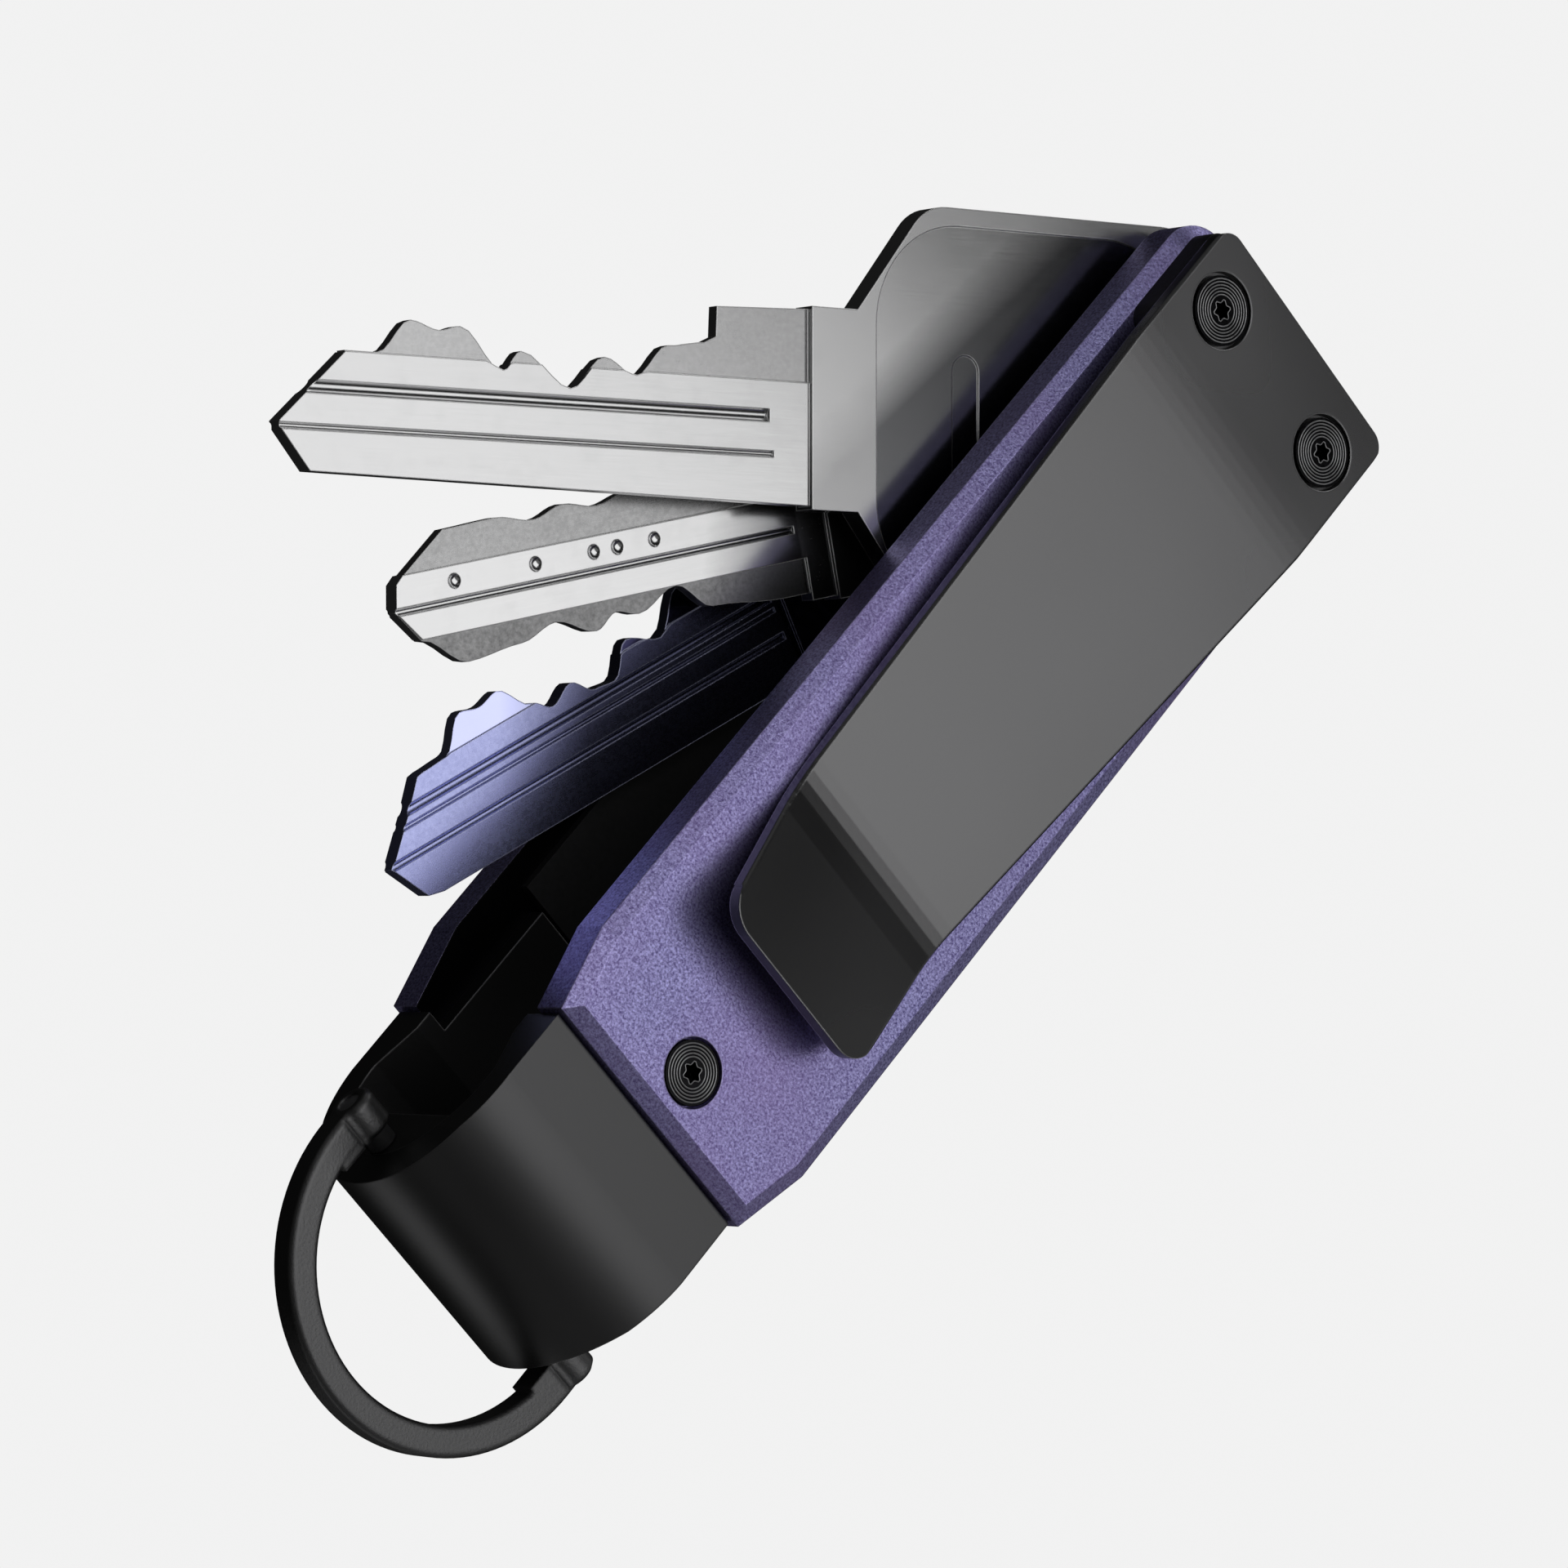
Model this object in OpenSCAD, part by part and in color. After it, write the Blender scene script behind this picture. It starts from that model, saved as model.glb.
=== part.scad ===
// Key organiser with two bevelled covers, a looped end frame, a swinging D-ring,
// a pocket clip and three keys that fan out from one pivot post.
// X runs across the covers, Y along them towards the clip end, Z out of the front cover.
// The origin is the middle of the back cover's flat outer face.

/* [Case] */
// Width across the covers
case_w = 26; // [25:0.5:31]
// Length of the covers, without the end frame
case_len = 87; // [86:0.5:104]
// Depth over both covers
case_depth = 23; // [23:0.5:30]
// Thickness of one cover
cover_t = 3.7; // [3.5:0.1:4.5]
// Width of the narrow toe at the ring end
toe_w = 22.7; // [22:0.1:24]
// Length over which the covers narrow to the toe
toe_len = 6.7; // [4:0.1:10]
// Radius of the two corners at the clip end
corner_r = 4; // [3:0.5:6]
// Width of the bevel round the outer face
bevel_w = 1.3; // [0.8:0.1:1.6]
// Depth of the bevel round the outer face
bevel_h = 0.7; // [0.5:0.1:1.2]

/* [Keys] */
// Thickness of a key's bow
key_t = 2; // [1.6:0.1:2.2]
// Thickness of a key's blade
blade_t = 1.4; // [1:0.1:1.5]
// Distance of the pivot from the clip end
pivot_inset = 14.5; // [12:0.5:18]
// Radius of the pivot post
post_r = 2.4; // [2:0.1:3]
// Swing of the long key from the covers' long axis
long_key_swing = 44.7; // [20:0.1:90]
// Swing of the dimple key
dimple_key_swing = 33; // [15:0.1:80]
// Swing of the violet key
violet_key_swing = 18; // [10:0.1:70]

/* [Clip] */
// Thickness of the clip's sheet
clip_t = 1.2; // [1:0.1:1.5]
// Width of the clip's flat foot
clip_w = 23.4; // [20:0.1:23.6]
// Width of the clip where it meets the cover
clip_waist_w = 17.9; // [14:0.1:20]
// Height of the pad under the clip's foot
pad_t = 2.15; // [1.5:0.05:3]
// Distance between the two clip screws
clip_screw_pitch = 14.8; // [12:0.2:16]
// How far the tip curls up from the cover
tip_lift = 3.1; // [1:0.1:5]

/* [Ring end] */
// Thickness of the end frame's strap
strap_t = 2.5; // [2:0.1:3]
// Width of the end frame
strap_w = 21.8; // [20:0.1:22]
// How far the end frame reaches past the covers
strap_reach = 16.4; // [16:0.1:20]
// Inner radius of the D-ring
ring_in_r = 12; // [11.5:0.1:16]
// Radial width of the D-ring's bar
ring_bar_w = 2.4; // [2:0.1:3]
// Thickness of the D-ring's bar
ring_bar_t = 2.5; // [2:0.1:3]
// Radius of the D-ring's pin
ring_pin_r = 0.9; // [0.8:0.05:1.2]

/* [Hidden] */
$fn = 64;

// Named clearances
run_fit = 0.05;      // turning fit of a key on the post or the pin in its saddle
screw_gap = 0.1;     // round a screw's shank in a plain hole
head_gap = 0.2;      // round a screw's head in its counterbore
axial_gap = 0.05;    // between a key and the washer on each side of it
joint_gap = 0.15;    // line between the covers and the end frame
over = 1;            // how far a cutter runs past the surface it opens

// Covers
toe_y = -case_len / 2;
clip_end_y = case_len / 2;
mid_z = case_depth / 2;
back_in_z = cover_t;
front_in_z = case_depth - cover_t;

// Screws that pass through the covers
case_head_r = 2.45;
case_head_h = 1.4;
case_bore_h = 1.5;
case_shank_r = 1.2;
recess_r = 0.62;
recess_lobe_r = 0.22;
recess_depth = 1;
frame_screw_y = toe_y + 4.7;
pivot_y = clip_end_y - pivot_inset;

// Clip screws and their inserts
clip_head_r = 2.75;
clip_head_h = 0.7;
clip_bore_gap = 0.3;
clip_shank_r = 1.45;
clip_screw_y = clip_end_y - 6.7;
clip_screw_reach = 2.6;
insert_r = 2;
insert_h = 3;

// Clip outline, along Y
clip_top_y = clip_end_y - 1.4;
pad_low_y = clip_end_y - 12;
crease_top_y = clip_end_y - 14.3;
crease_low_y = toe_y + 25.9;
clip_tip_y = toe_y + 13;
clip_tip_w = clip_waist_w - 1.1;
clip_clear = 0.1;
clip_foot_z = case_depth + pad_t + clip_t;
clip_waist_z = case_depth + clip_clear + clip_t;
clip_edge = 0.22;
bend_reach = 2.6;

// End frame: a strap bent round mid_z, with a thinner tongue under each cover
strap_set = 1.3;
strap_r = mid_z - strap_set;
bend_y = toe_y - strap_reach + strap_r;
strap_in_r = strap_r - strap_t;
bend_taper = 1.1;
tongue_w = 18;
tongue_t = 1.5;
tongue_len = 12.5;

// Liners, clear of the tongues
liner_t = 0.8;
liner_inset = 2;
liner_low_y = toe_y + tongue_len + 0.5;

// Stack on the pivot post, from the back liner up
washer_t = 0.25;
washer_r = 4.5;
spacer_r = 4;
stack_z = back_in_z + liner_t;
stack_h = front_in_z - back_in_z - 2 * liner_t;
key_pack = key_t + 2 * (washer_t + axial_gap);
end_spacer_t = 0.9;
mid_spacer_t = (stack_h - 3 * key_pack - 2 * end_spacer_t) / 2;
violet_key_z = stack_z + end_spacer_t + washer_t + axial_gap;
key_step = key_pack + mid_spacer_t;
dimple_key_z = violet_key_z + key_step;
long_key_z = dimple_key_z + key_step;
post_bore_r = 1.25;

// D-ring
ring_y = toe_y - 14.7;
ring_out_r = ring_in_r + ring_bar_w;
ring_edge = 0.3;
eye_r = 1.75;
pin_gap = 0.3;
eye_y = toe_y - strap_reach + strap_t + ring_pin_r + pin_gap;
eye_in_x = 11.5;
eye_edge = 0.35;
saddle_w = strap_w - 1.6;
bush_r = ring_pin_r + pin_gap - axial_gap;
saddle_depth = 3;
saddle_front_y = eye_y + saddle_depth;

// ---- shared shapes ----

// Section from a corner's centre line out to the bevelled rim, outer face at y = 0
module rim_section() {
    polygon([[0, 0], [corner_r - bevel_w, 0], [corner_r, bevel_h],
             [corner_r, cover_t], [0, cover_t]]);
}

// Section right across the covers
module cover_section() {
    w = case_w / 2;
    polygon([[-w + bevel_w, 0], [w - bevel_w, 0], [w, bevel_h], [w, cover_t],
             [-w, cover_t], [-w, bevel_h]]);
}

// Narrowing toe at the ring end, bevelled on three sides
module cover_toe(kink_y) {
    w = case_w / 2;
    t = toe_w / 2;
    rim_y = toe_y + bevel_w;
    rim_x = w - bevel_w - (w - t) * (toe_len - bevel_w) / toe_len;
    polyhedron(
        [[-rim_x, rim_y, 0], [rim_x, rim_y, 0], [w - bevel_w, kink_y, 0], [bevel_w - w, kink_y, 0],
         [-t, toe_y, bevel_h], [t, toe_y, bevel_h], [w, kink_y, bevel_h], [-w, kink_y, bevel_h],
         [-t, toe_y, cover_t], [t, toe_y, cover_t], [w, kink_y, cover_t], [-w, kink_y, cover_t]],
        [[0, 1, 2, 3], [8, 11, 10, 9], [4, 5, 1, 0], [5, 6, 2, 1], [7, 4, 0, 3],
         [8, 9, 5, 4], [9, 10, 6, 5], [11, 8, 4, 7], [10, 11, 7, 3, 2, 6]]);
}

// Cover with its bevelled outer face down at z = 0
module cover_plate() {
    kink_y = toe_y + toe_len;
    corner_x = case_w / 2 - corner_r;
    corner_y = clip_end_y - corner_r;
    difference() {
        union() {
            cover_toe(kink_y);
            translate([0, corner_y, 0]) rotate([90, 0, 0])
            linear_extrude(corner_y - kink_y) cover_section();
            translate([-corner_x, corner_y, 0]) rotate([90, 0, 90])
            linear_extrude(2 * corner_x) rim_section();
            translate([corner_x, corner_y, 0]) rotate_extrude(angle = 90) rim_section();
            translate([-corner_x, corner_y, 0]) rotate([0, 0, 90])
            rotate_extrude(angle = 90) rim_section();
        }
        for (y = [frame_screw_y, pivot_y]) translate([0, y, 0]) {
            translate([0, 0, -over])
            cylinder(h = case_bore_h + over, r = case_head_r + head_gap);
            cylinder(h = cover_t + over, r = case_shank_r + screw_gap);
        }
    }
}

// Six-lobed driver recess, cut down from z = 0
module driver_recess() {
    translate([0, 0, -recess_depth]) {
        cylinder(h = recess_depth + over, r = recess_r);
        for (i = [0 : 5]) rotate([0, 0, 60 * i])
            translate([recess_r, 0, 0]) cylinder(h = recess_depth + over, r = recess_lobe_r);
    }
}

// Screw with its head's top at z = 0 and its shank pointing down
module screw(head_r, head_h, shank_r, reach) {
    difference() {
        union() {
            translate([0, 0, -head_h]) cylinder(h = head_h, r = head_r);
            translate([0, 0, -reach]) cylinder(h = reach, r = shank_r);
        }
        driver_recess();
    }
}

// Screw through a cover: side 1 is the front, -1 the back
module cover_screw(y, side, reach) {
    translate([0, y, mid_z + side * (mid_z - case_bore_h + case_head_h)])
    rotate([side > 0 ? 0 : 180, 0, 0])
    screw(case_head_r, case_head_h, case_shank_r, reach);
}

module ring_washer(out_r, in_r, t) {
    difference() {
        cylinder(h = t, r = out_r);
        translate([0, 0, -over]) cylinder(h = t + 2 * over, r = in_r);
    }
}

// Bar section for the D-ring, centred, with softened edges
module bar_section() {
    a = ring_bar_w / 2;
    b = ring_bar_t / 2;
    e = ring_edge;
    polygon([[-a + e, -b], [a - e, -b], [a, -b + e], [a, b - e],
             [a - e, b], [-a + e, b], [-a, b - e], [-a, -b + e]]);
}

// ---- covers and frame ----

module back_cover() {
    color("#4b3f86") cover_plate();
}

module front_cover() {
    color("#4b3f86")
    difference() {
        translate([0, 0, case_depth]) mirror([0, 0, 1]) cover_plate();
        for (side = [-1, 1])
            translate([side * clip_screw_pitch / 2, clip_screw_y, case_depth - insert_h])
            cylinder(h = insert_h + over, r = insert_r);
    }
}

// Strap section: across the strap in X, outward from the bend in Y
module strap_section() {
    w = strap_w / 2;
    polygon([[strap_in_r, -w], [strap_r, -w], [strap_r, w], [strap_in_r, w]]);
}

// Plan that narrows the bend a little towards its far end
module bend_plan() {
    w = strap_w / 2;
    half = [[w, bend_y], [w - 0.25, bend_y - strap_r / 2], [w - bend_taper, bend_y - strap_r - 0.1]];
    polygon(concat(half, [for (i = [len(half) - 1 : -1 : 0]) [-half[i].x, half[i].y]]));
}

// Leg, step and tongue on the front side
module frame_leg() {
    leg_end_y = toe_y - joint_gap;
    tongue_z = front_in_z - tongue_t;
    translate([0, bend_y, mid_z]) rotate([-90, -90, 0])
    linear_extrude(leg_end_y - bend_y) strap_section();
    translate([-strap_w / 2, 0, 0]) rotate([90, 0, 90])
    linear_extrude(strap_w)
    polygon([[leg_end_y, tongue_z], [leg_end_y, mid_z + strap_in_r + 0.2],
             [bend_y + 0.6, mid_z + strap_in_r + 0.2], [bend_y + 0.6, mid_z + strap_in_r],
             [leg_end_y - 1.6, tongue_z]]);
    difference() {
        translate([-tongue_w / 2, leg_end_y - over, tongue_z])
        cube([tongue_w, tongue_len + over, tongue_t]);
        translate([0, frame_screw_y, tongue_z - over])
        cylinder(h = tongue_t + 2 * over, r = case_shank_r);
    }
}

module end_frame() {
    color("#141416") {
        intersection() {
            translate([0, bend_y, mid_z]) rotate([90, 0, 90]) rotate([0, 0, 90])
            rotate_extrude(angle = 180) strap_section();
            linear_extrude(case_depth) bend_plan();
        }
        frame_leg();
        translate([0, 0, case_depth]) mirror([0, 0, 1]) frame_leg();
    }
}

module liner() {
    w = case_w - 2 * liner_inset;
    len = clip_end_y - liner_inset - liner_low_y;
    difference() {
        translate([-w / 2, liner_low_y, 0]) cube([w, len, liner_t]);
        translate([0, pivot_y, -over]) cylinder(h = liner_t + 2 * over, r = post_r + screw_gap);
    }
}

module back_liner() {
    color("#1a1a1c") translate([0, 0, back_in_z]) liner();
}

module front_liner() {
    color("#1a1a1c") translate([0, 0, front_in_z - liner_t]) liner();
}

// ---- pocket clip ----

// Square block with one quarter-round removed, for rounding a plan corner
module plan_corner(x, y, sx, sy, r) {
    translate([x, y, 0]) difference() {
        translate([sx > 0 ? -r : -over, sy > 0 ? -r : -over, 0])
        cube([r + over, r + over, 2 * case_depth]);
        translate([-sx * r, -sy * r, -over]) cylinder(h = 2 * case_depth + 2 * over, r = r);
    }
}

// Slim diamond bar that softens the edge from p to q
module edge_break(p, q, c) {
    d = q - p;
    run = norm(d);
    translate(p)
    rotate([0, acos(d.z / run), atan2(d.y, d.x)])
    translate([0, 0, -over / 2]) cylinder(h = run + over, r = c, $fn = 4);
}

// Path through points whose inner corners are eased by a bend that starts reach before them
function eased(points, reach, steps = 5) = [
    points[0],
    for (i = [1 : len(points) - 2])
        let (p = points[i],
             u = (points[i - 1] - p) / norm(points[i - 1] - p),
             v = (points[i + 1] - p) / norm(points[i + 1] - p))
        for (j = [0 : steps])
            let (t = j / steps) p + reach * ((1 - t) * (1 - t) * u + t * t * v),
    points[len(points) - 1]];

// Clip's half width by Y, and the [y, z] line of its top surface with both bends
clip_half = [[clip_tip_y, clip_tip_w / 2], [crease_low_y, clip_waist_w / 2],
             [crease_top_y, clip_w / 2], [clip_top_y, clip_w / 2]];
clip_line = eased([[clip_top_y, clip_foot_z], [crease_top_y, clip_foot_z],
                   [crease_low_y, clip_waist_z], [clip_tip_y, clip_waist_z + tip_lift]],
                  bend_reach);

module clip_outline() {
    right = [for (p = clip_half) [p[1], p[0]]];
    left = [for (i = [len(clip_half) - 1 : -1 : 0]) [-clip_half[i][1], clip_half[i][0]]];
    polygon(concat(right, left));
}

module clip_profile() {
    under = [for (i = [len(clip_line) - 1 : -1 : 0]) clip_line[i] - [0, clip_t]];
    polygon(concat(clip_line, under));
}

// Point on the clip's top edge, on one side
function clip_rim(side, p) = [side * lookup(p[0], clip_half), p[0], p[1]];

module pocket_clip() {
    top_r = 1.7;
    tip_r = 2.6;
    color("#1c1c1e")
    difference() {
        intersection() {
            linear_extrude(2 * case_depth) clip_outline();
            translate([-case_w, 0, 0]) rotate([90, 0, 90])
            linear_extrude(2 * case_w) clip_profile();
        }
        for (side = [-1, 1]) {
            plan_corner(side * clip_w / 2, clip_top_y, side, 1, top_r);
            plan_corner(side * clip_tip_w / 2, clip_tip_y, side, -1, tip_r);
            for (i = [0 : len(clip_line) - 2])
                edge_break(clip_rim(side, clip_line[i]), clip_rim(side, clip_line[i + 1]),
                           clip_edge);
            translate([side * clip_screw_pitch / 2, clip_screw_y, clip_foot_z]) {
                translate([0, 0, -clip_head_h])
                cylinder(h = clip_head_h + over, r = clip_head_r + clip_bore_gap);
                translate([0, 0, -clip_t - over])
                cylinder(h = clip_t + 2 * over, r = clip_shank_r + screw_gap);
            }
        }
    }
}

module clip_pad() {
    w = clip_w;
    pad_r = 1.5;
    color("#2a2a2d")
    difference() {
        translate([-w / 2, pad_low_y, case_depth])
        cube([w, clip_top_y - pad_low_y, pad_t]);
        for (side = [-1, 1]) {
            plan_corner(side * w / 2, clip_top_y, side, 1, pad_r);
            plan_corner(side * w / 2, pad_low_y, side, -1, pad_r);
            translate([side * clip_screw_pitch / 2, clip_screw_y, case_depth - over])
            cylinder(h = pad_t + 2 * over, r = clip_shank_r + screw_gap);
        }
    }
}

module clip_screws() {
    reach = clip_t + pad_t + clip_screw_reach;
    color("#17171a")
    for (side = [-1, 1])
        translate([side * clip_screw_pitch / 2, clip_screw_y, clip_foot_z])
        screw(clip_head_r, clip_head_h, clip_shank_r, reach);
}

module clip_inserts() {
    color("#b08d4a")
    for (side = [-1, 1])
        translate([side * clip_screw_pitch / 2, clip_screw_y, case_depth - insert_h])
        ring_washer(insert_r, clip_shank_r, insert_h);
}

module frame_screws() {
    reach = cover_t - case_bore_h + case_head_h + tongue_t;
    color("#17171a") {
        cover_screw(frame_screw_y, 1, reach);
        cover_screw(frame_screw_y, -1, reach);
    }
}

// ---- pivot stack ----

module on_post(z) {
    translate([0, pivot_y, z]) children();
}

module pivot_post() {
    color("#8d9096") on_post(back_in_z)
    ring_washer(post_r, post_bore_r, front_in_z - back_in_z);
}

module pivot_screws() {
    reach = cover_t - case_bore_h + case_head_h + 4.5;
    color("#17171a") {
        cover_screw(pivot_y, 1, reach);
        cover_screw(pivot_y, -1, reach);
    }
}

module spacer(t) {
    ring_washer(spacer_r, post_r + screw_gap, t);
}

module back_spacer() {
    color("#8d9096") on_post(stack_z) spacer(end_spacer_t);
}

module lower_spacer() {
    color("#8d9096") on_post(violet_key_z + key_t + axial_gap + washer_t) spacer(mid_spacer_t);
}

module upper_spacer() {
    color("#8d9096") on_post(dimple_key_z + key_t + axial_gap + washer_t) spacer(mid_spacer_t);
}

// Dished disc spring that keeps the stack tight
module spring_washer() {
    disc_t = 0.45;
    dish = end_spacer_t - disc_t;
    hole_r = post_r + screw_gap;
    color("#9a9ca0") on_post(long_key_z + key_t + axial_gap + washer_t)
    rotate_extrude()
    polygon([[hole_r, dish], [spacer_r + 0.5, 0], [spacer_r + 0.5, disc_t],
             [hole_r, end_spacer_t]]);
}

module friction_washers() {
    color("#e6e3da")
    for (z = [violet_key_z, dimple_key_z, long_key_z]) {
        on_post(z - axial_gap - washer_t) ring_washer(washer_r, post_r + screw_gap, washer_t);
        on_post(z + key_t + axial_gap) ring_washer(washer_r, post_r + screw_gap, washer_t);
    }
}

// ---- keys: drawn with the pivot at the origin and the tip towards -X ----

module place_key(z, swing) {
    translate([0, pivot_y, z]) rotate([0, 0, 90 - swing]) children();
}

module pivot_hole() {
    translate([0, 0, -over]) cylinder(h = key_t + 2 * over, r = post_r + run_fit);
}

// Smooth wave through a key's peaks and valleys, given as [x, y] turning points
function wave(knots, steps = 5) = concat(
    [for (i = [0 : len(knots) - 2]) for (j = [0 : steps - 1])
        let (t = j / steps, a = knots[i], b = knots[i + 1])
        [a.x + (b.x - a.x) * t, a.y + (b.y - a.y) * (1 - cos(180 * t)) / 2]],
    [knots[len(knots) - 1]]);

// The same points kept at or below a height
function capped(points, y) = [for (p = points) [p.x, min(p.y, y)]];

// Extrusion of thickness t, centred in the key's thickness
module key_slab(t) {
    translate([0, 0, (key_t - t) / 2]) linear_extrude(t) children();
}

// Round-bottomed groove along the blade on both faces, from x0 to x1
module blade_groove(x0, x1, y0, y1, depth) {
    half_w = (y1 - y0) / 2;
    r = (half_w * half_w + depth * depth) / (2 * depth);
    for (side = [-1, 1])
        translate([x0, y0 + half_w, key_t / 2 + side * (blade_t / 2 + r - depth)])
        rotate([0, 90, 0]) cylinder(h = x1 - x0, r = r);
}

// Bow outline: rounded block with a tapered neck on the blade side
module bow_outline(x0, x1, y0, y1, r, neck_x, neck_y0, neck_y1) {
    hull() {
        for (x = [x0 + r, x1 - r]) for (y = [y0 + r, y1 - r])
            translate([x, y]) circle(r, $fn = 48);
        polygon([[neck_x, neck_y0], [neck_x, neck_y1], [neck_x + over, neck_y1],
                 [neck_x + over, neck_y0]]);
    }
}

// Shallow recess with round corners on both faces of a bow
module bow_panel(x0, x1, y0, y1, r, depth) {
    for (z = [key_t - depth, -over])
        translate([0, 0, z]) linear_extrude(depth + over) {
            translate([x0 + r, y0]) square([x1 - x0 - 2 * r, y1 - y0]);
            translate([x0, y0 + r]) square([x1 - x0, y1 - y0 - 2 * r]);
            for (x = [x0 + r, x1 - r]) for (y = [y0 + r, y1 - r])
                translate([x, y]) circle(r);
        }
}

// Key with one cut edge, a stepped land and a wide asymmetric bow
module long_key() {
    shoulder_x = -32.8;
    land_y = 4;
    land_t = blade_t - 0.4;
    cut = wave([[-42.6, 6.5], [-45.9, 6.1], [-48.9, 3.7], [-51.7, 4.9], [-54.9, 2.4],
                [-59.2, 4.9], [-60.9, 3.4], [-64.6, 6.4], [-66.4, 6], [-68.9, 6.6],
                [-71.8, 4.1], [-74.6, 4.1]]);
    color("#c9cacc")
    place_key(long_key_z, long_key_swing)
    difference() {
        union() {
            key_slab(blade_t)
            polygon(concat([[shoulder_x, -5.3], [shoulder_x, land_y]], capped(cut, land_y),
                           [[-80.2, -1.2], [-80.1, -1.7], [-77.6, -4.7]]));
            key_slab(land_t)
            polygon(concat([[-44, land_y - 2], [shoulder_x, land_y - 2], [shoulder_x, 9.6],
                            [-41.4, 9.3], [-41.5, 7]],
                           cut, [[-73.5, land_y - 2]]));
            linear_extrude(key_t) {
                bow_outline(-23.8, 6, -13.9, 18.2, 4, -28.4, -5.6, 9.8);
                translate([shoulder_x, -5.6]) square([5, 15.4]);
            }
        }
        blade_groove(-90, -36.6, 0.85, 1.85, 0.3);
        blade_groove(-90, -36.2, -1.8, -1.3, 0.2);
        bow_panel(-26.6, 4.4, -12.5, 16.8, 8, 0.15);
        // Shallow slot mark in the bow
        for (z = [key_t - 0.3, -over]) translate([-17.8, 0, z]) linear_extrude(0.3 + over) {
            translate([-1.3, -2.4]) square([2.6, 8]);
            for (y = [-2.4, 5.6]) translate([0, y]) circle(1.3);
        }
        pivot_hole();
    }
}

// Key with waves on both edges and dimples along its raised middle band
module dimple_key() {
    shoulder_x = -28.2;
    band_low = -2.7;
    band_high = 2.2;
    dimple_lift = 0.4;
    land_t = blade_t - 0.4;
    upper = wave([[-36, 5.1], [-43, 4.6], [-46, 5], [-49.2, 4.4], [-52.2, 5], [-55, 4.3],
                  [-58.4, 5], [-63.2, 4.9]]);
    lower = wave([[-66.6, -2.8], [-62.8, -5], [-57.9, -4.5], [-54.5, -3.5], [-51, -4.8],
                  [-48.9, -3.7], [-46.9, -4.2], [-43.1, -2.7], [-40, -4.8], [-33, -5.4]]);
    color("#c4c5c8")
    place_key(dimple_key_z, dimple_key_swing)
    difference() {
        union() {
            key_slab(land_t)
            polygon(concat([[shoulder_x, 5.1]], upper, [[-68.1, 1.6], [-68.5, -0.4]],
                           lower, [[-30.6, -5.4], [shoulder_x, -5.4]]));
            key_slab(blade_t)
            polygon([[shoulder_x, band_low], [shoulder_x, band_high], [-67.4, band_high],
                     [-68.1, 1.6], [-68.5, -0.4], [-66.6, band_low], [-30.6, band_low]]);
            key_slab(blade_t)
            translate([-30.6, -6]) square([3, 11]);
            linear_extrude(key_t) {
                bow_outline(-23.5, 5.5, -11.5, 11.5, 5, -25, -6.3, 6.3);
                translate([shoulder_x, -6.3]) square([5, 12.6]);
            }
        }
        blade_groove(-90, -31.4, -0.7, -0.1, 0.22);
        for (x = [-63, -55.6, -50.2, -48, -44.5])
            for (side = [-1, 1])
                translate([x, 1.05, key_t / 2 + side * (blade_t / 2 + dimple_lift)])
                sphere(r = 0.7, $fn = 32);
        bow_panel(-22.4, 4.4, -10.4, 10.4, 4.5, 0.15);
        pivot_hole();
    }
}

// Key with one deeply cut edge and several long grooves
module violet_key() {
    shoulder_x = -30.5;
    land_y = 4.9;
    land_t = blade_t - 0.3;
    cut = wave([[-35, 4.9], [-39, 7.2], [-42.2, 4.4], [-45.2, 5.6], [-47.6, 3.3], [-49.5, 3.5],
                [-51.4, 4.9], [-53.6, 4], [-55.2, 5], [-57.7, 7.2], [-59.6, 6.8],
                [-61.4, 7.2], [-64, 4.8], [-66.4, 4.7]]);
    color("#5a5aa8")
    place_key(violet_key_z, violet_key_swing)
    difference() {
        union() {
            key_slab(blade_t)
            polygon(concat([[shoulder_x, -4.1], [shoulder_x, land_y]], capped(cut, land_y),
                           [[-67, 4.6], [-69, 2.4], [-72, -0.6], [-70, -3.7], [-68.6, -4]]));
            key_slab(land_t)
            polygon(concat([[-33, 2]], cut, [[-66, 2]]));
            linear_extrude(key_t) {
                bow_outline(-23.5, 5.5, -11.5, 11.5, 5, -25, -6, 6);
                translate([shoulder_x, -4.6]) square([6, 10.4]);
            }
        }
        blade_groove(-90, -31.4, 2.35, 3.15, 0.28);
        blade_groove(-90, -31.4, 1.5, 1.9, 0.16);
        blade_groove(-90, -31.4, -0.8, -0.15, 0.24);
        bow_panel(-22.4, 4.4, -10.4, 10.4, 4.5, 0.15);
        pivot_hole();
    }
}

// ---- D-ring and its hinge ----

// Everything on the hinge line, drawn with its axis along X
module along_pin(x) {
    translate([x, eye_y, mid_z]) rotate([0, 90, 0]) children();
}

// Eye of the D-ring, a short barrel with softened rims
module ring_eye() {
    len = ring_out_r - eye_in_x;
    rotate_extrude()
    polygon([[0, 0], [eye_r - eye_edge, 0], [eye_r, eye_edge], [eye_r, len - eye_edge],
             [eye_r - eye_edge, len], [0, len]]);
}

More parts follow.
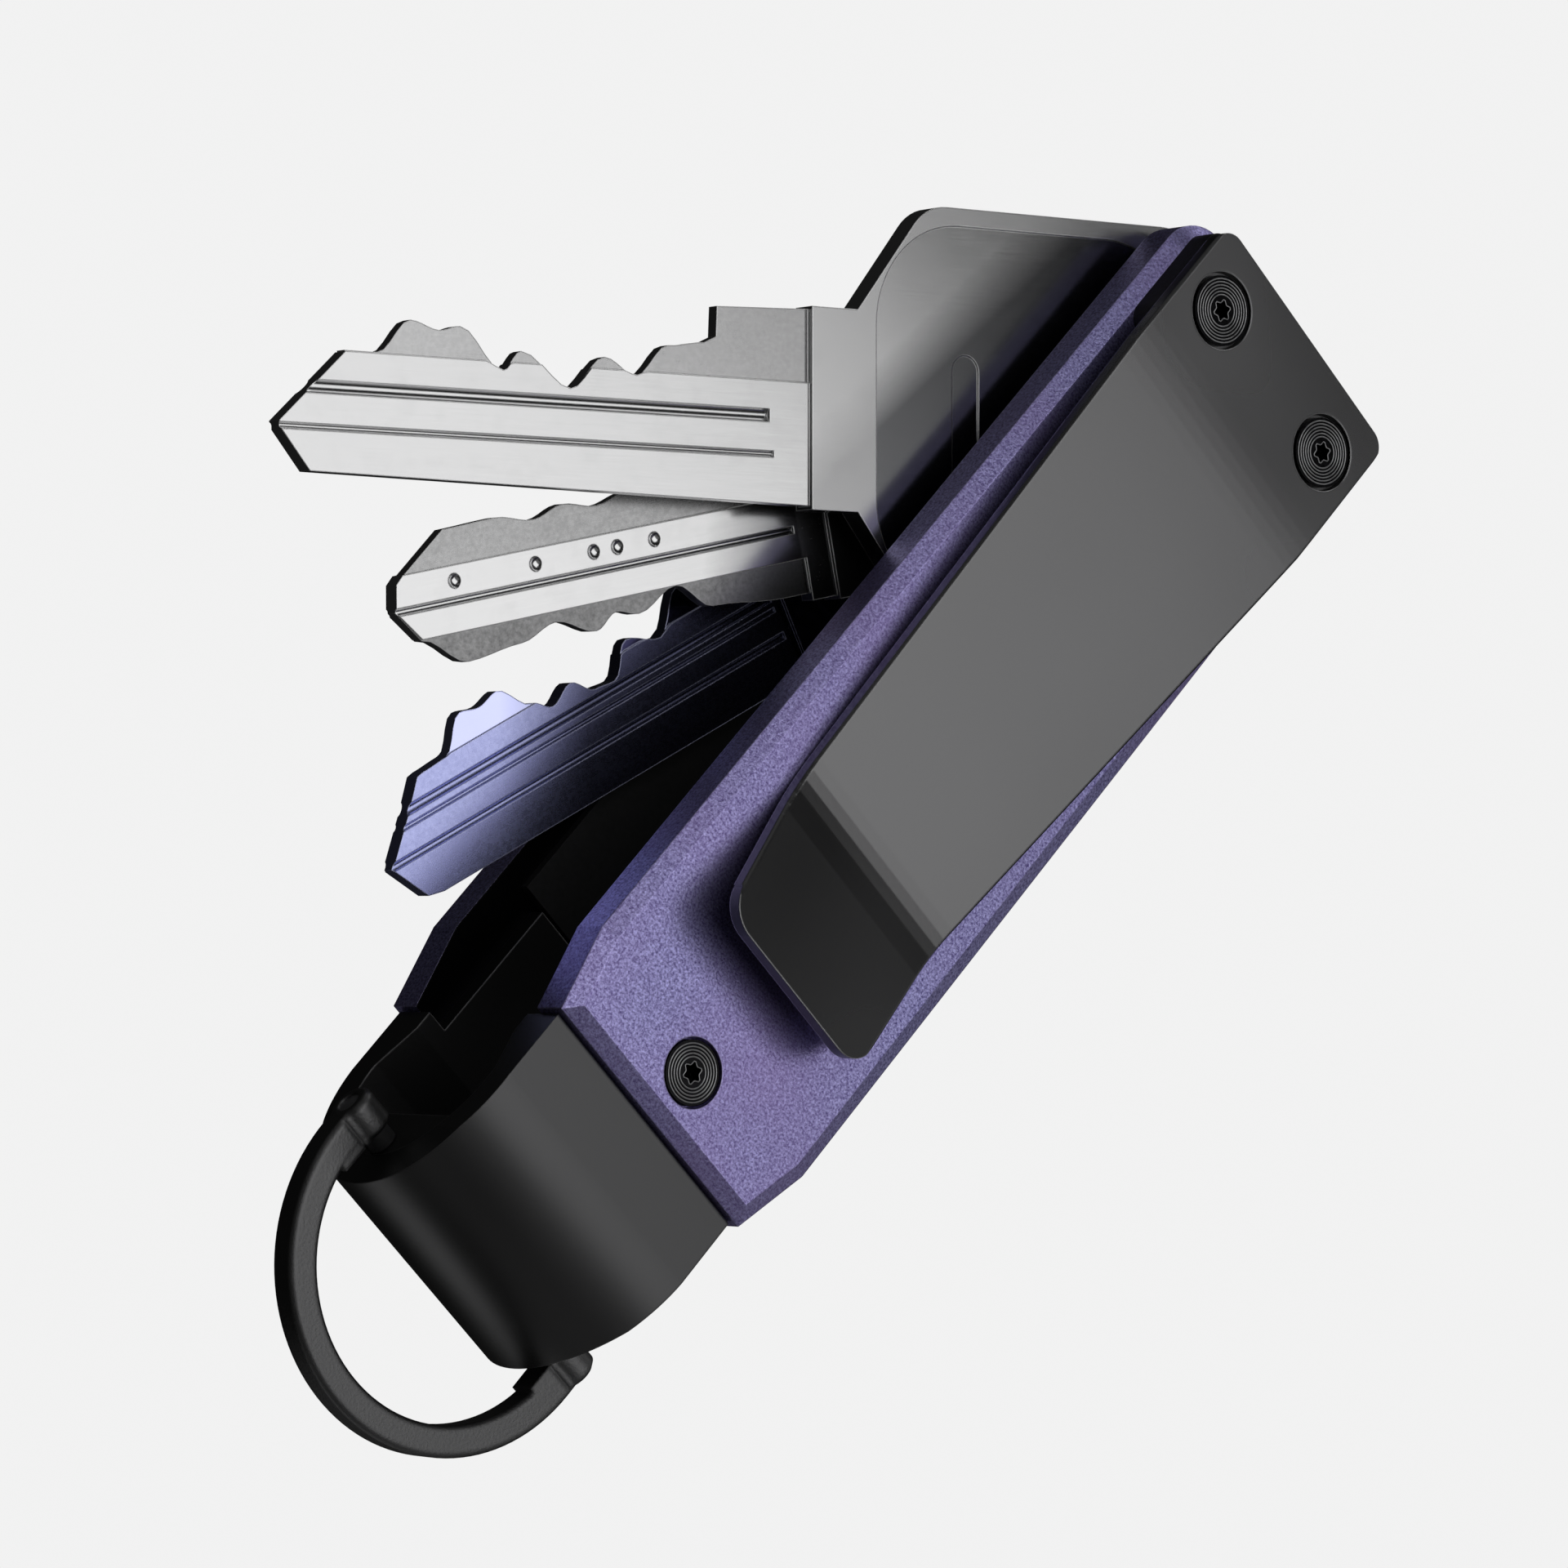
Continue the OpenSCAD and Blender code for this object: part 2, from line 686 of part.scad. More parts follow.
module d_ring() {
    bar_x = ring_in_r + ring_bar_w / 2;
    arm_low_y = ring_y - 2.1;
    crease_y = eye_y - eye_r + 0.05;
    color("#1d1d20")
    difference() {
        union() {
            translate([0, ring_y, mid_z]) rotate([0, 0, 180]) rotate_extrude(angle = 180)
            translate([bar_x, 0]) bar_section();
            for (side = [-1, 1]) {
                translate([side * bar_x, ring_y, mid_z]) rotate([-90, 0, 0])
                linear_extrude(eye_y - ring_y) bar_section();
                // Inward step that brings the eye close to the end frame
                translate([side > 0 ? eye_in_x : -ring_in_r - 0.6, arm_low_y,
                           mid_z - ring_bar_t / 2 + 0.05])
                cube([ring_in_r + 0.6 - eye_in_x, eye_y - arm_low_y, ring_bar_t - 0.1]);
                along_pin(side > 0 ? eye_in_x : -ring_out_r) ring_eye();
            }
        }
        // Creases where the flat arms meet the round eyes, on both faces
        for (side = [-1, 1]) for (face = [-1, 1])
            translate([side * bar_x, crease_y, mid_z + face * ring_bar_t / 2])
            cube([2 * ring_bar_w, 0.25, 0.4], center = true);
        along_pin(-ring_out_r - over) cylinder(h = 2 * (ring_out_r + over), r = ring_pin_r);
    }
}

module ring_pin() {
    pin_len = 2 * ring_out_r - 0.2;
    color("#55575c") along_pin(-pin_len / 2) cylinder(h = pin_len, r = ring_pin_r);
}

module ring_bushes() {
    bush_t = eye_in_x - saddle_w / 2 - 2 * axial_gap;
    color("#26262a")
    for (side = [-1, 1])
        along_pin(side > 0 ? saddle_w / 2 + axial_gap : -eye_in_x + axial_gap)
        ring_washer(bush_r, ring_pin_r + run_fit, bush_t);
}

module ring_saddle() {
    color("#2c2c30")
    difference() {
        translate([-saddle_w / 2, 0, 0]) rotate([90, 0, 90]) linear_extrude(saddle_w)
        intersection() {
            translate([bend_y, mid_z]) circle(strap_in_r - 0.01);
            translate([saddle_front_y - 4 * strap_r, 0]) square([4 * strap_r, case_depth]);
        }
        along_pin(-saddle_w / 2 - over)
        cylinder(h = saddle_w + 2 * over, r = ring_pin_r + run_fit);
    }
}

front_cover();
back_cover();
end_frame();
front_liner();
back_liner();
pocket_clip();
clip_pad();
clip_screws();
clip_inserts();
frame_screws();
pivot_post();
pivot_screws();
long_key();
dimple_key();
violet_key();
spring_washer();
upper_spacer();
lower_spacer();
back_spacer();
friction_washers();
d_ring();
ring_pin();
ring_bushes();
ring_saddle();
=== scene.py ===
# %% [markdown]
# # A key organiser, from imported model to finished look
# Two bevelled covers hold a fan of keys on one hidden post. A bent strap closes the ring end,
# and a D-ring swings on a pin inside that bend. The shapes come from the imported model, so this
# lesson is mostly about finishes, light, and the few repeated details that are made here.
# Everything is in metres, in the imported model's own frame.

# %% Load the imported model
import math

import bpy
from mathutils import Matrix, Vector


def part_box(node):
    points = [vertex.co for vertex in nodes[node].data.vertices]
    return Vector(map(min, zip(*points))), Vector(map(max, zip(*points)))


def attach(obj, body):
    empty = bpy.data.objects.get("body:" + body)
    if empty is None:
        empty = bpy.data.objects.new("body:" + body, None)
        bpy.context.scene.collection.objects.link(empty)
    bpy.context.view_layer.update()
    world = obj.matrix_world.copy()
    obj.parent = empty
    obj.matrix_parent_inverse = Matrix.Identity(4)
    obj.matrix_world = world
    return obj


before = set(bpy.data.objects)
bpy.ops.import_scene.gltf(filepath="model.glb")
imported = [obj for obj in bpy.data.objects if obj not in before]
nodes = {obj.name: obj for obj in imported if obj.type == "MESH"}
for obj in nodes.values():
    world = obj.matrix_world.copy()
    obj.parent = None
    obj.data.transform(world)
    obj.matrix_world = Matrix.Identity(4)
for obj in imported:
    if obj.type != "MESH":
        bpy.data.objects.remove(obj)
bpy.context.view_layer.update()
scene = bpy.context.scene
MM = 0.001
print("packed nodes:", len(nodes))

# %% [markdown]
# ## Wires instead of node clicking
# A material is a graph, and shader maths written as nodes is hard to read. This small class
# wraps an output socket and overloads the arithmetic signs, so `1 - mask` adds its own Math
# node. Any other node comes from one method that sets the node's settings first, then its
# sockets. Some nodes have several outputs or sockets of one name, and those are reached by
# their place in the list, which is named once here. Colours never pass through Math nodes,
# because those would turn them grey.

# %% The wire class
COORD_NORMAL, COORD_OBJECT = 1, 3         # outputs of Texture Coordinate
GEOMETRY_NORMAL = 1                       # an output of Geometry
VECTOR_VALUE = 1                          # the number that Vector Math gives
MIX_FACTOR, MIX_A, MIX_B = 0, 6, 7        # sockets of Mix when it mixes colours
MIX_COLOUR = 2                            # the colour that Mix gives


class Wire:
    """An output socket of a node tree, or the tree itself when it has no socket yet."""

    def __init__(self, tree, socket=None):
        self.tree = tree
        self.socket = socket

    def node(self, kind, settings=None, inputs=None, output=0):
        made = self.tree.nodes.new(kind)
        for name, value in (settings or {}).items():
            setattr(made, name, value)
        for name, value in (inputs or {}).items():
            if isinstance(value, Wire):
                self.tree.links.new(value.socket, made.inputs[name])
            else:
                made.inputs[name].default_value = value
        return Wire(self.tree, made.outputs[output] if len(made.outputs) else None)

    def maths(self, operation, *values):
        return self.node("ShaderNodeMath", {"operation": operation}, dict(enumerate(values)))

    def __add__(self, other):
        return self.maths("ADD", self, other)

    def __radd__(self, other):
        return self.maths("ADD", other, self)

    def __sub__(self, other):
        return self.maths("SUBTRACT", self, other)

    def __rsub__(self, other):
        return self.maths("SUBTRACT", other, self)

    def __mul__(self, other):
        return self.maths("MULTIPLY", self, other)

    def __rmul__(self, other):
        return self.maths("MULTIPLY", other, self)

    def __abs__(self):
        return self.maths("ABSOLUTE", self)

    def least(self, other):
        return self.maths("MINIMUM", self, other)


print("wires ready: + - * abs and least")

# %% [markdown]
# ## Helpers that every finish shares
# Real finishes differ by a few habits: a colour that drifts slightly, a roughness that
# drifts, and a fine relief. These helpers give each of them a plain name. The pattern space
# is Object coordinates, which on this model are metres on the real part.

# %% Shared shader helpers
def new_material(name):
    material = bpy.data.materials.new(name)
    material.use_nodes = True
    material.node_tree.nodes.clear()
    return material, Wire(material.node_tree)


def part_space(start, centre=(0, 0, 0), turn=0.0, stretch=(1, 1, 1)):
    """Object coordinates, centred on a point, turned about Z and stretched along its axes."""
    place = start.node("ShaderNodeTexCoord", output=COORD_OBJECT)
    centred = start.node("ShaderNodeVectorMath", {"operation": "SUBTRACT"},
                         {0: place, 1: centre})
    turned = start.node("ShaderNodeVectorRotate", {"rotation_type": "Z_AXIS"},
                        {"Vector": centred, "Angle": turn})
    return start.node("ShaderNodeVectorMath", {"operation": "MULTIPLY"},
                      {0: turned, 1: stretch})


def axes(start, vector):
    """The x, y and z of a vector, as three wires."""
    parts = start.node("ShaderNodeSeparateXYZ", None, {0: vector})
    return [Wire(start.tree, socket) for socket in parts.socket.node.outputs]


def noise(start, space, scale, detail=2.0, rough=0.5):
    return start.node("ShaderNodeTexNoise", None,
                      {"Vector": space, "Scale": scale, "Detail": detail,
                       "Roughness": rough})


def spread(value, low, high, out_low=0.0, out_high=1.0):
    """Stretches a value from one range to another, and stops at its ends."""
    return value.node("ShaderNodeMapRange", {"clamp": True},
                      {"Value": value, "From Min": low, "From Max": high,
                       "To Min": out_low, "To Max": out_high})


def mix_colours(start, factor, a, b):
    """The first colour where the factor is zero, and the second where it is one."""
    def rgba(c):
        return c if isinstance(c, Wire) else (*c, 1.0)
    return start.node("ShaderNodeMix", {"data_type": "RGBA", "blend_type": "MIX"},
                      {MIX_FACTOR: factor, MIX_A: rgba(a), MIX_B: rgba(b)}, output=MIX_COLOUR)


EDGE_SAMPLES = 6


def relief(start, height, distance, strength=1.0, edge=0.0):
    """A bump whose height is in metres; edge rounds the sharp edges of the mesh first."""
    inputs = {"Height": height, "Distance": distance, "Strength": strength}
    if edge:
        inputs["Normal"] = start.node("ShaderNodeBevel", {"samples": EDGE_SAMPLES},
                                      {"Radius": edge})
    return start.node("ShaderNodeBump", None, inputs)


def sharp_edge_mask(start, radius, low=0.06, high=0.3):
    """Near one on the sharp edges of a mesh and zero on its faces; it places painted edge
    highlights.
    """
    rounded = start.node("ShaderNodeBevel", {"samples": EDGE_SAMPLES}, {"Radius": radius})
    flat = start.node("ShaderNodeNewGeometry", output=GEOMETRY_NORMAL)
    same = start.node("ShaderNodeVectorMath", {"operation": "DOT_PRODUCT"},
                      {0: rounded, 1: flat}, output=VECTOR_VALUE)
    return spread(1 - same, low, high)


def finish_with(material, start, colour, roughness, normal, metallic=0.0, **fixed):
    """Principled surface: what varies is linked, and constants go on its own sockets."""
    inputs = {"Base Color": colour if isinstance(colour, Wire) else (*colour, 1.0),
              "Roughness": roughness, "Metallic": metallic, "Normal": normal}
    inputs.update({name.replace("_", " ").title().replace("Ior", "IOR"): value
                   for name, value in fixed.items()})
    surface = start.node("ShaderNodeBsdfPrincipled", None, inputs)
    start.node("ShaderNodeOutputMaterial", None, {"Surface": surface})
    return material


def give(material, *names):
    """Puts one finish on the named CAD nodes."""
    for name in names:
        slots = nodes[name].data.materials
        slots.clear()
        slots.append(material)
    print(material.name, "->", ", ".join(names))


# %% [markdown]
# ## Purple anodising over bead blasting
# The covers are aluminium, blasted with fine beads and then dyed. Under light the tiny
# craters show as bright and dark specks a quarter of a millimetre across, and the dye looks
# a little redder where it is thin. Two noises do this: a fine one for the craters, which
# drives relief, colour and roughness, and a broad one for the dye. The face of the back cover
# that looks into the key bay is masked by its direction and painted black, so that the bay
# reads as deep shade. That is a choice of look, because its real finish is not known.

# %% Cover finish
inside_z = sum(p.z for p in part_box("pivot_post")) / 2


def purple_anodised():
    material, start = new_material("purple_anodised")
    space = part_space(start)
    craters = noise(start, space, 4600, detail=3.0, rough=0.8)
    dye = noise(start, space, 70, detail=1.0)
    speck = spread(craters, 0.34, 0.66)
    deep = (0.10, 0.08, 0.26)
    pale = (0.55, 0.53, 0.94)
    grain = mix_colours(start, speck, deep, pale)
    warm = mix_colours(start, spread(dye, 0.35, 0.7, 0.0, 0.4), grain,
                       (0.33, 0.22, 0.50))
    facing_z = axes(start, start.node("ShaderNodeTexCoord", output=COORD_NORMAL))[2]
    low_half = 1 - spread(axes(start, space)[2], inside_z - 0.5 * MM, inside_z)
    inner = spread(facing_z, 0.7, 0.9) * low_half
    edges = sharp_edge_mask(start, 0.00018, 0.02, 0.12)
    # Painted highlight: sharp edges of the covers are mixed towards a pale lavender.
    lit = mix_colours(start, edges * 0.4, warm, (0.75, 0.70, 0.98))
    colour = mix_colours(start, inner, lit, (0.004, 0.004, 0.005))
    return finish_with(material, start, colour, spread(craters, 0.3, 0.7, 0.40, 0.28),
                       relief(start, craters, 0.00004, 0.5, edge=0.00016),
                       metallic=0.85)


give(purple_anodised(), "front_cover", "back_cover")

# %% [markdown]
# ## Black coats
# The strap and the clip share one idea, a thin black coat that still reflects about a tenth
# of the light, as a vapour-deposited coat does. They differ in how fine the surface is: the
# clip is smooth sheet, the strap is slightly satin, and the D-ring has a coarse, dull grain.
# Sharp edges can be given a brighter tone, a painted highlight for the light that the edges
# catch.

# %% Black coat finishes
def black_coat(name, tone, gloss, grain_size, grain_height, edge=0.0002, painted_edge_highlight=0.0):
    material, start = new_material(name)
    space = part_space(start)
    grain = noise(start, space, 1 / grain_size, detail=3.0, rough=0.6)
    drift = noise(start, space, 45, detail=1.0)
    dark = tuple(0.86 * c for c in tone)
    coat = mix_colours(start, spread(drift, 0.3, 0.7), dark, tone)
    # Painted highlight: sharp edges are mixed towards a pale grey.
    colour = mix_colours(start, sharp_edge_mask(start, edge) * painted_edge_highlight, coat, (0.75, 0.75, 0.76))
    rough = spread(drift, 0.3, 0.7, gloss - 0.04, gloss + 0.04)
    return finish_with(material, start, colour, rough,
                       relief(start, grain, grain_height, 0.5, edge=edge), metallic=1.0)


clip_finish = black_coat("black_spring_steel", (0.172, 0.172, 0.175), gloss=0.25,
                         grain_size=0.0005, grain_height=0.000003, painted_edge_highlight=0.7)
strap_finish = black_coat("black_satin", (0.108, 0.108, 0.11), gloss=0.4,
                          grain_size=0.0003, grain_height=0.000008, painted_edge_highlight=0.25)
ring_finish = black_coat("black_ring", (0.135, 0.135, 0.137), gloss=0.4,
                         grain_size=0.00025, grain_height=0.00005, edge=0.0005)
give(clip_finish, "pocket_clip")
give(strap_finish, "end_frame", "ring_saddle")
give(ring_finish, "d_ring")

# %% [markdown]
# ## Matte black inside
# The pad under the clip, the liners and the bushes are nylon. Nylon is a dielectric, so it
# keeps metallic at zero and gets its depth from a soft, slightly uneven sheen.

# %% Nylon finish
def black_nylon():
    material, start = new_material("black_nylon")
    space = part_space(start)
    grain = noise(start, space, 2500, detail=2.0)
    colour = mix_colours(start, grain, (0.006, 0.006, 0.0065), (0.016, 0.016, 0.017))
    return finish_with(material, start, colour, spread(grain, 0.3, 0.7, 0.5, 0.62),
                       relief(start, grain, 0.00002, 0.5, edge=0.0001),
                       specular_ior_level=0.3)


give(black_nylon(), "clip_pad", "front_liner", "back_liner", "ring_bushes")

# %% [markdown]
# ## Screws: black oxide with turned rings
# Each head was faced on a lathe, which leaves concentric rings. The rings are real geometry,
# made further down, and the oxide itself is nearly black with a soft gloss. The rings and the
# rims of the driver recesses carry a much lighter oxide colour, which is a painted highlight.

# %% Screw finishes
def black_oxide():
    material, start = new_material("black_screw")
    space = part_space(start)
    grain = noise(start, space, 3000, detail=2.0)
    colour = mix_colours(start, grain, (0.004, 0.004, 0.0045), (0.016, 0.016, 0.017))
    return finish_with(material, start, colour, spread(grain, 0.3, 0.7, 0.24, 0.34),
                       relief(start, grain, 0.000004, 0.4, edge=0.00008), metallic=1.0)


screw_finish = black_oxide()
give(screw_finish, "clip_screws", "frame_screws", "pivot_screws")


# Painted highlight: the ridges and recess rims get a light grey instead of the near-black oxide.
def ridge_highlight_oxide():
    material, start = new_material("rubbed_ridge")
    grain = noise(start, part_space(start), 3000, detail=2.0)
    colour = mix_colours(start, grain, (0.22, 0.22, 0.225), (0.5, 0.5, 0.51))
    return finish_with(material, start, colour, spread(grain, 0.3, 0.7, 0.28, 0.4),
                       relief(start, grain, 0.000004, 0.4), metallic=1.0)


ridge_finish = ridge_highlight_oxide()

# %% [markdown]
# ## Bare turned metal, brass and washers
# These sit inside the case. Turned steel has fine rings around its own axis, so its pattern
# follows the distance from the pivot line. The friction washers are natural nylon.

# %% Inner metal finishes
pivot_low, pivot_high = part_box("pivot_post")
pivot = (pivot_low + pivot_high) / 2
TURNING_WAVES = 60000                     # radians of ring pattern for each metre of radius
print("pivot line at", [round(c / MM, 2) for c in pivot], "mm")


def turned_metal(name, tone, gloss):
    material, start = new_material(name)
    space = part_space(start, centre=pivot)
    flat = start.node("ShaderNodeVectorMath", {"operation": "MULTIPLY"},
                      {0: space, 1: (1, 1, 0)})
    radius = start.node("ShaderNodeVectorMath", {"operation": "LENGTH"}, {0: flat},
                        output=VECTOR_VALUE)
    rings = start.maths("SINE", radius * TURNING_WAVES)
    uneven = noise(start, space, 900)
    colour = mix_colours(start, spread(uneven, 0.3, 0.7), tuple(0.8 * c for c in tone), tone)
    return finish_with(material, start, colour, spread(uneven, 0.3, 0.7, gloss, gloss + 0.12),
                       relief(start, rings, 0.000002, 0.5, edge=0.0001), metallic=1.0)


give(turned_metal("bare_steel", (0.5, 0.5, 0.52), 0.25), "pivot_post", "spring_washer",
     "upper_spacer", "lower_spacer", "back_spacer", "ring_pin")
give(turned_metal("brass_insert", (0.7, 0.5, 0.22), 0.28), "clip_inserts")


def washer_nylon():
    material, start = new_material("white_washer")
    mottle = noise(start, part_space(start), 700)
    colour = mix_colours(start, mottle, (0.66, 0.64, 0.58), (0.82, 0.8, 0.75))
    return finish_with(material, start, colour, spread(mottle, 0.3, 0.7, 0.4, 0.5),
                       relief(start, mottle, 0.00001, 0.4))


give(washer_nylon(), "friction_washers")

# %% [markdown]
# ## Plated keys
# Each key is stamped, brushed along its blade and then plated. Its pattern space is turned
# with the key, so that x runs along the blade and y across it, and a squeezed noise becomes
# long fine strokes. The lands, where the press has thinned the blade, keep a duller plating
# than the raised middle, and so does the rim of a bow round its polished panel. Near the case
# a mask tones the plating down. It is not wear: it stands in for the dark case mirrored in
# polished metal in the rest pose, and it stays with the key when the key swings. A mask for
# each of those areas is a few comparisons on the two coordinates.

# %% Key space
# Degrees from fully folded to the fan of the rest pose.
REST_SWING = {"long_key": 44.7, "dimple_key": 33.0, "violet_key": 18.0}


def key_space(start, key):
    """Coordinates in millimetres with the pivot at zero, the tip towards -x."""
    turned = part_space(start, centre=pivot, turn=math.radians(REST_SWING[key] - 90),
                        stretch=(1 / MM,) * 3)
    along, across, _ = axes(start, turned)
    return turned, along, across


def sunk(start, key):
    """One on a face that lies a little below either outer face of a key, else zero."""
    low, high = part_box(key)
    middle, half = (low.z + high.z) / 2, (high.z - low.z) / 2
    height = axes(start, part_space(start))[2]
    from_face = half - abs(height - middle)
    return spread(from_face, 0.05 * MM, 0.1 * MM)


def soft_step(value, edge, width=0.08):
    """Zero below an edge and one above it, with a slope narrow enough to look cut."""
    return spread(value, edge - width, edge + width)


# %% Plated finish
def plated(name, key, bright, dull, gloss, areas, shaded=(0.09, 0.092, 0.098),
           edge_highlight_colour=(0.95, 0.95, 0.95)):
    """areas takes both coordinates and the sunk mask, and returns how dull, dark and matt."""
    material, start = new_material(name)
    space, along, across = key_space(start, key)
    strokes_space = start.node("ShaderNodeVectorMath", {"operation": "MULTIPLY"},
                               {0: space, 1: (0.25, 9, 9)})
    strokes = noise(start, strokes_space, 1.0, detail=3.0, rough=0.65)
    handling = noise(start, space, 0.35, detail=4.0, rough=0.6)
    pits = noise(start, space, 2.6, detail=4.0, rough=0.7)
    dullness, dark, matt = areas(along, across, sunk(start, key))
    patchy = dullness * spread(pits, 0.35, 0.75, 0.7, 1.0)
    worn = spread(handling, 0.5, 0.8, 0.0, 0.07) + patchy
    plate = mix_colours(start, worn.least(1.0), bright, dull)
    toned = mix_colours(start, dark, plate, shaded)
    edges = sharp_edge_mask(start, 0.00018, 0.03, 0.2)
    # Painted highlight: sharp edges of the key are mixed towards a pale edge colour.
    colour = mix_colours(start, edges * 0.9, toned, edge_highlight_colour)
    rough = gloss + spread(strokes, 0.3, 0.7, -0.015, 0.015) + worn * 0.2
    rough = rough + matt * 0.06 + edges * 0.25
    height = strokes + dullness * pits * 3.0
    return finish_with(material, start, colour, rough,
                       relief(start, height, 0.0000008, 0.4, edge=0.00013), metallic=1.0)


def long_key_areas(along, across, panel):
    land = soft_step(across, 4.0) * (1 - soft_step(along, -33.0))
    bow = soft_step(along, -32.9)
    shadow = spread(along * 0.632 - across * 0.781, -21.4, -17.2, 0.0, 0.9)
    rim = bow * (1 - panel)
    return land * 0.5, bow * shadow * (panel * 0.65 + 0.35), rim


def dimple_key_areas(along, across, panel):
    blade = 1 - soft_step(along, -31.0)
    upper = soft_step(across, 2.2) * 0.62
    lower = 1 - soft_step(across, -2.7)
    shadow = spread(along - across * 0.3, -40.0, -33.0, 0.0, 0.75)
    return blade * (upper + lower) + (1 - blade) * 0.5, shadow, (1 - blade) * (1 - panel)


def violet_key_areas(along, across, panel):
    blade = 1 - soft_step(along, -31.0)
    shadow = spread(along - across * 0.5, -61.0, -52.0, 0.0, 0.8)
    return blade * (1 - soft_step(across, 4.9)), shadow, (1 - blade) * (1 - panel)


give(plated("nickel_long_key", "long_key", bright=(0.66, 0.66, 0.663),
            dull=(0.34, 0.34, 0.342), gloss=0.17, areas=long_key_areas), "long_key")
give(plated("nickel_dimple_key", "dimple_key", bright=(0.70, 0.70, 0.703),
            dull=(0.19, 0.19, 0.192), gloss=0.17, areas=dimple_key_areas), "dimple_key")
give(plated("violet_key_coat", "violet_key", bright=(0.62, 0.65, 0.98),
            dull=(0.42, 0.45, 0.78), gloss=0.11, areas=violet_key_areas,
            shaded=(0.05, 0.05, 0.08), edge_highlight_colour=(0.75, 0.77, 1.0)), "violet_key")

# %% [markdown]
# ## Turned rings on the screw heads
# A facing cut leaves a spiral that reads as a set of concentric rings. One Geometry Nodes
# tree draws a set of rings with a small round section and places the set on each head's
# centre point. Its sizes are named inputs, and the result becomes a plain mesh, because
# instances are lost when the model is exported.

# %% Geometry Nodes tree for concentric rings
def ring_tree():
    tree = bpy.data.node_groups.new("turned_rings", "GeometryNodeTree")
    face = tree.interface
    face.new_socket("Geometry", in_out="INPUT", socket_type="NodeSocketGeometry")
    for label, kind in (("First radius", "NodeSocketFloat"), ("Spacing", "NodeSocketFloat"),
                        ("Rings", "NodeSocketInt"), ("Ridge radius", "NodeSocketFloat"),
                        ("Finish", "NodeSocketMaterial")):
        face.new_socket(label, in_out="INPUT", socket_type=kind)
    face.new_socket("Geometry", in_out="OUTPUT", socket_type="NodeSocketGeometry")
    start = Wire(tree)
    source = tree.nodes.new("NodeGroupInput")

    def given(name):
        return Wire(tree, source.outputs[name])

    count = start.node("GeometryNodePoints", None, {"Count": given("Rings")})
    step = start.node("GeometryNodeInputIndex")
    radius = step * given("Spacing") + given("First radius")
    circle = start.node("GeometryNodeCurvePrimitiveCircle", {"mode": "RADIUS"},
                        {"Resolution": 56, "Radius": 1.0})
    circles = start.node("GeometryNodeInstanceOnPoints", None,
                         {"Points": count, "Instance": circle, "Scale": radius})
    curves = start.node("GeometryNodeRealizeInstances", None, {"Geometry": circles})
    section = start.node("GeometryNodeCurvePrimitiveCircle", {"mode": "RADIUS"},
                         {"Resolution": 8, "Radius": given("Ridge radius")})
    level = start.node("GeometryNodeSetCurveRadius", None, {"Curve": curves, "Radius": 1.0})
    ridges = start.node("GeometryNodeCurveToMesh", None,
                        {"Curve": level, "Profile Curve": section})
    heads = start.node("GeometryNodeMeshToPoints", None, {"Mesh": given("Geometry")})
    placed = start.node("GeometryNodeInstanceOnPoints", None,
                        {"Points": heads, "Instance": ridges})
    real = start.node("GeometryNodeRealizeInstances", None, {"Geometry": placed})
    smooth = start.node("GeometryNodeSetShadeSmooth", None, {"Geometry": real})
    dressed = start.node("GeometryNodeSetMaterial", None,
                         {"Geometry": smooth, "Material": given("Finish")})
    start.node("NodeGroupOutput", None, {"Geometry": dressed})
    return tree


rings_tree = ring_tree()
print("tree nodes:", len(rings_tree.nodes))


# %% Geometry Nodes tree for the lit rim of a six-lobed recess
def lobed_rim_tree():
    tree = bpy.data.node_groups.new("lobed_rims", "GeometryNodeTree")
    face = tree.interface
    face.new_socket("Geometry", in_out="INPUT", socket_type="NodeSocketGeometry")
    for label, kind in (("Inner radius", "NodeSocketFloat"), ("Outer radius", "NodeSocketFloat"),
                        ("Ridge radius", "NodeSocketFloat"), ("Finish", "NodeSocketMaterial")):
        face.new_socket(label, in_out="INPUT", socket_type=kind)
    face.new_socket("Geometry", in_out="OUTPUT", socket_type="NodeSocketGeometry")
    start = Wire(tree)
    source = tree.nodes.new("NodeGroupInput")

    def given(name):
        return Wire(tree, source.outputs[name])

    star = start.node("GeometryNodeCurveStar", None,
                      {"Points": 6, "Inner Radius": given("Inner radius"),
                       "Outer Radius": given("Outer radius"), "Twist": 0.0})
    soft = start.node("GeometryNodeFilletCurve", None,
                      {"Curve": star, "Radius": given("Inner radius") * 0.16})
    section = start.node("GeometryNodeCurvePrimitiveCircle", {"mode": "RADIUS"},
                         {"Resolution": 8, "Radius": given("Ridge radius")})
    rim = start.node("GeometryNodeCurveToMesh", None, {"Curve": soft, "Profile Curve": section})
    heads = start.node("GeometryNodeMeshToPoints", None, {"Mesh": given("Geometry")})
    placed = start.node("GeometryNodeInstanceOnPoints", None, {"Points": heads, "Instance": rim})
    real = start.node("GeometryNodeRealizeInstances", None, {"Geometry": placed})
    dressed = start.node("GeometryNodeSetMaterial", None,
                         {"Geometry": real, "Material": given("Finish")})
    start.node("NodeGroupOutput", None, {"Geometry": dressed})
    return tree


rims_tree = lobed_rim_tree()
print("rim tree nodes:", len(rims_tree.nodes))

# %% [markdown]
# ## From modifier to mesh
# The modifier is filled in by each socket's identifier before the object is first
# evaluated. `new_from_object` then copies the evaluated result, and a fresh object holds
# it at the origin, which is where the export expects every finished piece.

